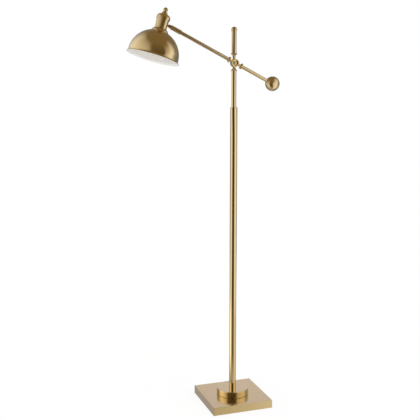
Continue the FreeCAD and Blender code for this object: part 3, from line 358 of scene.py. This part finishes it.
def make_shade():
    """The spun dome with its flared lip: brass outside, enamel inside."""
    bm = bmesh.new()
    lean = math.asin(HOLE_R / DOME_R)
    start = bm.verts.new((HOLE_R, 0, DOME_RISE + DOME_R * math.cos(lean)))
    equator = arc(bm, start, (0, 0, DOME_RISE), math.pi / 2 - lean, DOME_STEPS)
    arc(bm, equator, (DOME_R + FLARE_R, 0, DOME_RISE), -FLARE_TURN, LIP_STEPS)
    revolve(bm, STEPS_AROUND)
    shell = finish_piece(bm, "shade_dome", HEAD_FRAME, [satin_head, enamel], "head")
    wall = shell.modifiers.new("wall", "SOLIDIFY")
    wall.thickness = SHADE_WALL
    wall.offset = -1
    wall.material_offset = 1
    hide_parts("shade")


make_shade()


# ---- Camera, floor and light ----

CAMERA_PLACE = (-1.0653, -2.8045, 1.281)
CAMERA_TILT = 81.08         # degrees up from straight down
CAMERA_HEADING = -18.996    # degrees about Z
CAMERA_LENS = 64.29         # mm
SENSOR_WIDTH = 36           # mm

camera_data = bpy.data.cameras.new("camera")
camera_data.sensor_width = SENSOR_WIDTH
camera_data.lens = CAMERA_LENS
camera = bpy.data.objects.new("camera", camera_data)
camera.location = CAMERA_PLACE
camera.rotation_euler = (math.radians(CAMERA_TILT), 0, math.radians(CAMERA_HEADING))
bpy.context.scene.collection.objects.link(camera)
bpy.context.scene.camera = camera
bpy.context.scene.view_settings.view_transform = "Standard"


FLOOR_REACH = 30            # from the lamp to the floor's edge
FLOOR_PAPER = (0.92, 0.92, 0.92, 1.0)
FLOOR_GLOW = 0.88           # share of the floor that is plain white; the rest keeps the shadow


def make_floor():
    """A plain white floor that keeps a soft shadow of the lamp."""
    bm = bmesh.new()
    bmesh.ops.create_grid(bm, x_segments=1, y_segments=1, size=FLOOR_REACH)
    mesh = bpy.data.meshes.new("floor")
    bm.to_mesh(mesh)
    bm.free()
    floor = bpy.data.objects.new("floor", mesh)
    bpy.context.scene.collection.objects.link(floor)
    material, tree, output = new_material("white_floor")
    paper = add(tree, "ShaderNodeBsdfDiffuse", Color=FLOOR_PAPER)
    glow = add(tree, "ShaderNodeEmission", Color=WHITE, Strength=1.0)
    path = add(tree, "ShaderNodeLightPath")
    share = add(tree, "ShaderNodeMath", {"operation": "MULTIPLY"},
                _0=path.outputs["Is Camera Ray"], _1=FLOOR_GLOW)
    mix = add(tree, "ShaderNodeMixShader", _0=share.outputs["Value"],
              _1=paper.outputs["BSDF"], _2=glow.outputs["Emission"])
    tree.links.new(mix.outputs["Shader"], output.inputs["Surface"])
    mesh.materials.append(material)
    # The metal doesn't see this floor: below it the metal mirrors the tent's painted floor
    # reflection instead.
    floor.visible_glossy = False


FILL_COLOUR = (1.0, 0.99, 0.97, 1.0)
FILL_STRENGTH = 0.78


def make_world():
    """White to the eye and in glass, and a soft even light on the lamp."""
    world = bpy.data.worlds.new("studio_air")
    world.use_nodes = True
    tree = world.node_tree
    tree.nodes.clear()
    output = tree.nodes.new("ShaderNodeOutputWorld")
    path = add(tree, "ShaderNodeLightPath")
    seen = add(tree, "ShaderNodeMath", {"operation": "MAXIMUM"},
               _0=path.outputs["Is Camera Ray"], _1=path.outputs["Is Glossy Ray"])
    seen = add(tree, "ShaderNodeMath", {"operation": "MAXIMUM"},
               _0=seen.outputs["Value"], _1=path.outputs["Is Transmission Ray"])
    fill = add(tree, "ShaderNodeBackground", Color=FILL_COLOUR, Strength=FILL_STRENGTH)
    white = add(tree, "ShaderNodeBackground", Color=WHITE, Strength=1.0)
    mix = add(tree, "ShaderNodeMixShader", _0=seen.outputs["Value"],
              _1=fill.outputs["Background"], _2=white.outputs["Background"])
    tree.links.new(mix.outputs["Shader"], output.inputs["Surface"])
    bpy.context.scene.world = world


LIGHT_SPREAD = 50           # degrees
AIM = Vector((0, 0, 0.9))   # the middle of the lamp, where the lights point


def make_light(name, place, strength):
    """A wide, even light that shines from a place towards the lamp's middle."""
    data = bpy.data.lights.new(name, "SUN")
    data.angle = math.radians(LIGHT_SPREAD)
    data.energy = strength
    light = bpy.data.objects.new(name, data)
    light.location = place
    light.rotation_euler = (AIM - Vector(place)).to_track_quat("-Z", "Y").to_euler()
    light.visible_glossy = False
    light.visible_camera = False
    bpy.context.scene.collection.objects.link(light)


# The light tent that the metal mirrors stands close round the lamp. Its front, towards the
# main camera's place, is a dim brown sheet: a painted dark reflection that the metal shows
# as its dark middle band. Each stop is degrees round from the middle of that front, the
# light there, and the height where a sheet starts to fade into the ceiling, or where a skirt
# ends and the sheet over it begins.
TENT_R = 0.58
TENT_FOOT = -1.6
TENT_TOP = 2.6
TENT_SIDES = 128
TENT_TURN = CAMERA_HEADING  # the dim painted front faces the main camera's place
FADE = 0.8                  # height over which a sheet fades
SKIRT_BLEND = 0.14          # height over which a skirt turns into its sheet
FLOOR_BLEND = 0.12          # depth over which the skirts turn into the painted floor reflection
LEAN_LOW, LEAN_HIGH = 2.5, 13.0     # degrees that the dim front is off, low and at most
LEAN_FOOT, LEAN_FULL = 1.05, 1.22   # heights between which it leans over
LEAN_END, LEAN_TOP = 1.36, 1.50     # heights between which it comes back to none
SHEETS = [
    (-180, (0.28, 0.28, 0.29), 1.55), (-150, (0.22, 0.22, 0.23), 1.52),
    (-125, (0.30, 0.30, 0.31), 1.52), (-108, (0.55, 0.56, 0.57), 1.54),
    (-94, (0.88, 0.88, 0.89), 1.55), (-80, (1.16, 1.16, 1.16), 1.50),
    (-62, (1.14, 1.12, 1.10), 1.28), (-44, (1.10, 1.07, 1.03), 1.10),
    (-33, (0.08, 0.055, 0.02), 1.15), (27, (0.08, 0.055, 0.02), 1.30),
    (35, (0.96, 0.93, 0.88), 1.12), (52, (1.12, 1.09, 1.05), 1.20),
    (68, (1.14, 1.12, 1.09), 1.38), (82, (1.20, 1.18, 1.16), 1.60),
    (98, (0.90, 0.90, 0.88), 1.60), (112, (0.46, 0.46, 0.45), 1.50),
    (130, (0.22, 0.22, 0.21), 1.45), (156, (0.20, 0.20, 0.20), 1.45),
    (180, (0.28, 0.28, 0.29), 1.55)]
SKIRTS = [
    (-180, (0.76, 0.72, 0.78), 0.42), (-150, (0.70, 0.67, 0.72), 0.42),
    (-132, (0.40, 0.40, 0.42), 0.36), (-108, (0.48, 0.47, 0.44), 0.22),
    (-88, (2.20, 2.15, 2.05), 0.16), (-66, (1.70, 1.65, 1.50), 0.16),
    (-50, (0.85, 0.80, 0.70), 0.16), (-35, (0.50, 0.44, 0.34), 0.16),
    (-21, (0.22, 0.17, 0.11), 0.16), (10, (0.09, 0.07, 0.03), 0.16),
    (22, (0.30, 0.26, 0.20), 0.16), (38, (0.58, 0.54, 0.46), 0.16),
    (54, (0.84, 0.80, 0.72), 0.16), (82, (1.08, 1.06, 1.02), 0.16),
    (104, (0.62, 0.61, 0.58), 0.22), (128, (0.46, 0.45, 0.45), 0.36),
    (148, (0.70, 0.68, 0.72), 0.42), (180, (0.76, 0.72, 0.78), 0.42)]
# Painted floor reflection: the light that the metal mirrors below the floor, in place of the
# floor itself.
FLOOR_LIGHT = [
    (-180, (0.44, 0.43, 0.46)), (-120, (0.43, 0.42, 0.44)), (-60, (0.52, 0.48, 0.40)),
    (10, (0.58, 0.53, 0.44)), (36, (0.70, 0.66, 0.57)), (60, (0.92, 0.90, 0.88)),
    (120, (0.58, 0.56, 0.52)), (180, (0.44, 0.43, 0.46))]
CEILING = (0.25, 0.18, 0.09, 1.0)


def share_of_turn(degrees):
    """Where an angle lies on a ramp that starts and ends opposite the tent's dim front."""
    return degrees / 360 + 0.5


def paint(ramp, stops):
    """Set a ramp's stops from degrees, a light and, kept in its alpha, a height."""
    while len(ramp.elements) > 1:
        ramp.elements.remove(ramp.elements[-1])
    for i, (degrees, light, *height) in enumerate(stops):
        place = share_of_turn(degrees)
        stop = ramp.elements.new(place) if i else ramp.elements[0]
        stop.position = place
        stop.color = (*light, height[0] / TENT_TOP if height else 1.0)


def make_tent():
    """Bright and dark sheets round the lamp that only its gloss sees, with a dim painted front.
    """
    bm = bmesh.new()
    bmesh.ops.create_cone(bm, cap_ends=True, segments=TENT_SIDES, radius1=TENT_R,
                          radius2=TENT_R, depth=TENT_TOP - TENT_FOOT)
    bmesh.ops.translate(bm, vec=(0, 0, (TENT_TOP + TENT_FOOT) / 2), verts=bm.verts[:])
    bmesh.ops.reverse_faces(bm, faces=bm.faces[:])
    mesh = bpy.data.meshes.new("tent")
    bm.to_mesh(mesh)
    bm.free()
    tent = bpy.data.objects.new("tent", mesh)
    bpy.context.scene.collection.objects.link(tent)
    material, tree, output = new_material("studio_tent")
    coordinates = add(tree, "ShaderNodeTexCoord")
    turned = add(tree, "ShaderNodeMapping", {"vector_type": "TEXTURE"},
                 Vector=coordinates.outputs["Object"],
                 Rotation=(0, 0, math.radians(TENT_TURN)))
    parts = add(tree, "ShaderNodeSeparateXYZ", Vector=turned.outputs["Vector"])
    near = add(tree, "ShaderNodeMath", {"operation": "MULTIPLY"},
               _0=parts.outputs["Y"], _1=-1.0)
    angle = add(tree, "ShaderNodeMath", {"operation": "ARCTAN2"},
                _0=parts.outputs["X"], _1=near.outputs["Value"])
    rise = add(tree, "ShaderNodeMapRange", {"interpolation_type": "SMOOTHSTEP"},
               Value=parts.outputs["Z"], From_Min=LEAN_FOOT, From_Max=LEAN_FULL,
               To_Min=share_of_turn(LEAN_LOW), To_Max=share_of_turn(LEAN_HIGH))
    upright = add(tree, "ShaderNodeMapRange", {"interpolation_type": "SMOOTHSTEP"},
                  Value=parts.outputs["Z"], From_Min=LEAN_END, From_Max=LEAN_TOP,
                  To_Min=0.0, To_Max=-LEAN_HIGH / 360)
    middle = add(tree, "ShaderNodeMath", {"operation": "ADD"},
                 _0=rise.outputs["Result"], _1=upright.outputs["Result"])
    share = add(tree, "ShaderNodeMath", {"operation": "MULTIPLY_ADD"},
                _0=angle.outputs["Value"], _1=0.5 / math.pi, _2=middle.outputs["Value"])
    sheets = add(tree, "ShaderNodeValToRGB", Fac=share.outputs["Value"])
    paint(sheets.color_ramp, SHEETS)
    skirts = add(tree, "ShaderNodeValToRGB", Fac=share.outputs["Value"])
    paint(skirts.color_ramp, SKIRTS)
    floor_light = add(tree, "ShaderNodeValToRGB", Fac=share.outputs["Value"])
    paint(floor_light.color_ramp, FLOOR_LIGHT)
    over = add(tree, "ShaderNodeMath", {"operation": "MULTIPLY_ADD"},
               _0=skirts.outputs["Alpha"], _1=-TENT_TOP, _2=parts.outputs["Z"])
    climb = add(tree, "ShaderNodeMapRange", Value=over.outputs["Value"],
                From_Min=0.0, From_Max=SKIRT_BLEND, To_Min=0.0, To_Max=1.0)
    sides = add(tree, "ShaderNodeMix", {"data_type": "RGBA"}, Factor=climb.outputs["Result"],
                A=skirts.outputs["Color"], B=sheets.outputs["Color"])
    start = add(tree, "ShaderNodeMath", {"operation": "MULTIPLY_ADD"},
                _0=sheets.outputs["Alpha"], _1=-TENT_TOP, _2=parts.outputs["Z"])
    high = add(tree, "ShaderNodeMapRange", Value=start.outputs["Value"],
               From_Min=0.0, From_Max=FADE, To_Min=0.0, To_Max=1.0)
    above = add(tree, "ShaderNodeMix", {"data_type": "RGBA"}, Factor=high.outputs["Result"],
                A=sides.outputs["Result"], B=CEILING)
    low = add(tree, "ShaderNodeMapRange", Value=parts.outputs["Z"],
              From_Min=0.0, From_Max=-FLOOR_BLEND, To_Min=0.0, To_Max=1.0)
    below = add(tree, "ShaderNodeMix", {"data_type": "RGBA"}, Factor=low.outputs["Result"],
                A=above.outputs["Result"], B=floor_light.outputs["Color"])
    glow = add(tree, "ShaderNodeEmission", Color=below.outputs["Result"], Strength=1.0)
    tree.links.new(glow.outputs["Emission"], output.inputs["Surface"])
    material.cycles.emission_sampling = "NONE"
    mesh.materials.append(material)
    tent.visible_camera = False
    tent.visible_diffuse = False
    tent.visible_transmission = False
    tent.visible_volume_scatter = False
    tent.visible_shadow = False


make_floor()
make_world()
make_light("left_light", (-3.2, -2.2, 4.0), 0.65)
make_light("right_light", (2.6, -2.6, 3.6), 0.9)
make_tent()
